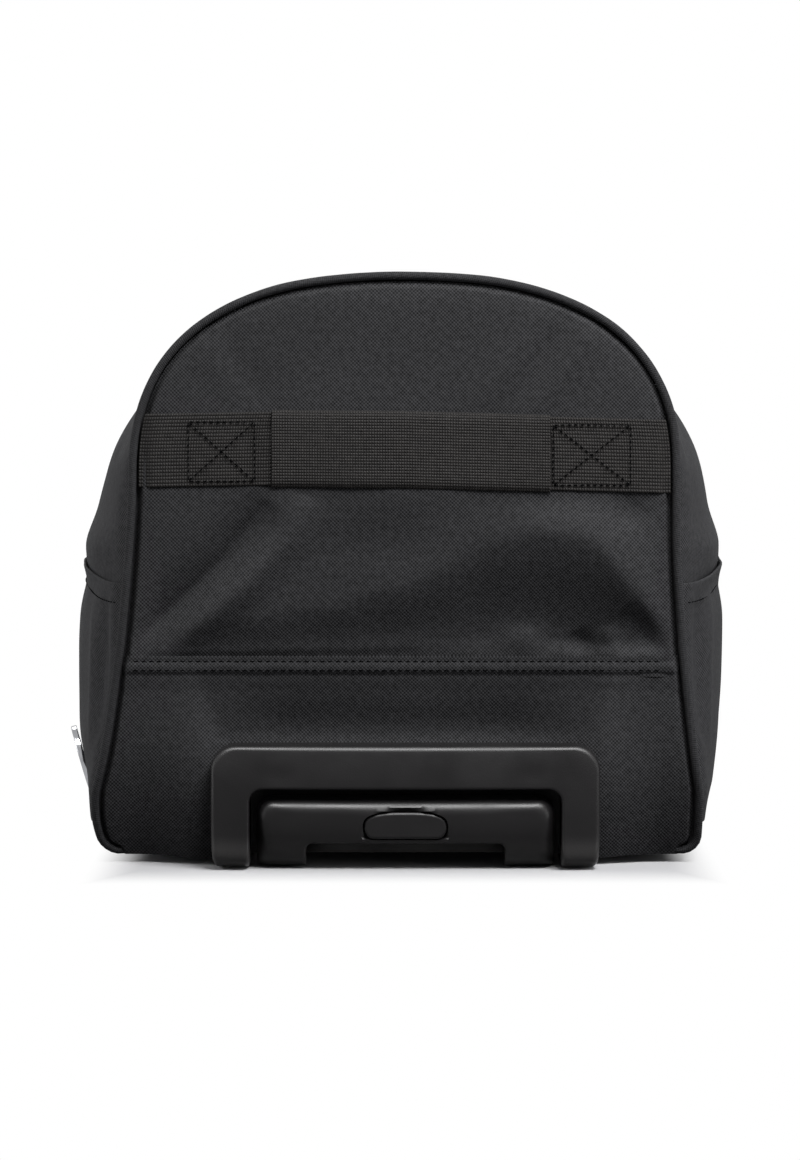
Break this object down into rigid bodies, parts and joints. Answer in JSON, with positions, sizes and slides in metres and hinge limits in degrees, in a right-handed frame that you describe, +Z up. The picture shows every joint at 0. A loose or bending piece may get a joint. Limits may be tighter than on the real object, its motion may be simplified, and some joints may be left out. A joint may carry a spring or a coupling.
{
  "type": "wheeled bowling ball bag",
  "caption": "Soft black wheeled bowling ball bag with piped ends, a zipped arched lid, side slip pockets, a haul strap and a telescopic pull handle set into one end.",
  "frame": {"origin": "middle of the bag's footprint, on the floor it lies on", "axes": "+Z up from the floor, +Y from the handle end to the wheel end, +X to the zip side"},
  "size_m": [0.366, 0.5592, 0.308],
  "materials": {
    "polyester_fabric": "matt woven",
    "pocket_fabric": "matt woven",
    "piping_fabric": "matt woven",
    "webbing": "ribbed weave",
    "zip_tape": "woven",
    "zip_metal": "dark nickel",
    "chrome_plate": "polished",
    "moulded_plastic": "satin",
    "black_tube": "black anodised",
    "axle_steel": "plated",
    "tyre_rubber": "matt",
    "base_board": "matt",
    "cradle_foam": "closed-cell foam"
  },
  "bodies": {
    "bag": {"side_panel_left": "polyester_fabric", "side_panel_right": "polyester_fabric", "side_pocket_left": "pocket_fabric", "side_pocket_right": "pocket_fabric", "front_upper_panel": "polyester_fabric", "front_lower_panel": "polyester_fabric", "rear_panel": "polyester_fabric", "front_piping": "piping_fabric", "rear_piping": "piping_fabric", "front_gusset": "polyester_fabric", "rear_gusset": "polyester_fabric", "zip_tape_front": "zip_tape", "zip_tape_rear": "zip_tape", "zip_tape_side": "zip_tape", "badge_plate": "chrome_plate", "haul_strap": "webbing", "haul_sleeve": "webbing", "bottom_panel": "polyester_fabric", "base_board": "base_board", "ball_cradle": "cradle_foam", "handle_tray": "moulded_plastic", "handle_bezel": "moulded_plastic", "outer_tube_left": "black_tube", "outer_tube_right": "black_tube", "outer_collar_left": "moulded_plastic", "outer_collar_right": "moulded_plastic", "tube_anchor": "moulded_plastic", "wheel_housing_left": "moulded_plastic", "wheel_housing_right": "moulded_plastic", "axle_left": "axle_steel", "axle_right": "axle_steel", "stand_foot_left": "tyre_rubber", "stand_foot_right": "tyre_rubber"},
    "handle_middle": {"middle_tube_left": "black_tube", "middle_tube_right": "black_tube", "middle_collar_left": "moulded_plastic", "middle_collar_right": "moulded_plastic"},
    "handle_top": {"handle_grip": "moulded_plastic", "inner_tube_left": "black_tube", "inner_tube_right": "black_tube", "button_spring": "axle_steel"},
    "button": {"release_button": "moulded_plastic"},
    "wheel_left": {"wheel_hub_left": "moulded_plastic", "wheel_tyre_left": "tyre_rubber"},
    "wheel_right": {"wheel_hub_right": "moulded_plastic", "wheel_tyre_right": "tyre_rubber"},
    "lid": {"lid_panel": "polyester_fabric", "lid_zip_front": "zip_tape", "lid_zip_rear": "zip_tape", "lid_zip_side": "zip_tape"},
    "slider_front": {"zip_slider_front": "zip_metal"},
    "slider_rear": {"zip_slider_rear": "zip_metal"},
    "pull_front": {"zip_pull_front": "zip_metal"},
    "pull_rear": {"zip_pull_rear": "zip_metal"}
  },
  "joints": [
    {"name": "handle_lower_stage", "type": "slide", "parent": "bag", "child": "handle_middle", "axis": [0, -1, 0], "range_m": [0, 0.24]},
    {"name": "handle_upper_stage", "type": "slide", "parent": "handle_middle", "child": "handle_top", "axis": [0, -1, 0], "range_m": [0, 0.24]},
    {"name": "button_press", "type": "slide", "parent": "handle_top", "child": "button", "axis": [0, 1, 0], "range_m": [0, 0.005], "stiffness_N_per_m": 600, "springref_m": -0.003, "deforming": ["button_spring"]},
    {"name": "wheel_left_spin", "type": "hinge", "parent": "bag", "child": "wheel_left", "pos_m": [-0.142, 0.242, 0.038], "axis": [1, 0, 0], "continuous": true},
    {"name": "wheel_right_spin", "type": "hinge", "parent": "bag", "child": "wheel_right", "pos_m": [0.142, 0.242, 0.038], "axis": [1, 0, 0], "continuous": true},
    {"name": "lid_hinge", "type": "hinge", "parent": "bag", "child": "lid", "pos_m": [-0.12991, 0, 0.256], "axis": [0, -1, 0], "range_deg": [0, 140]},
    {"name": "zip_slider_front_run", "type": "slide", "parent": "bag", "child": "slider_front", "axis": [0, -1, 0], "range_m": [0, 0.19]},
    {"name": "zip_slider_rear_run", "type": "slide", "parent": "bag", "child": "slider_rear", "axis": [0, 1, 0], "range_m": [0, 0.19]},
    {"name": "zip_pull_front_swing", "type": "hinge", "parent": "slider_front", "child": "pull_front", "pos_m": [0.13796, -0.0065, 0.256], "axis": [0, -1, 0], "range_deg": [0, 130]},
    {"name": "zip_pull_rear_swing", "type": "hinge", "parent": "slider_rear", "child": "pull_rear", "pos_m": [0.13796, 0.0065, 0.256], "axis": [0, -1, 0], "range_deg": [0, 130]}
  ]
}
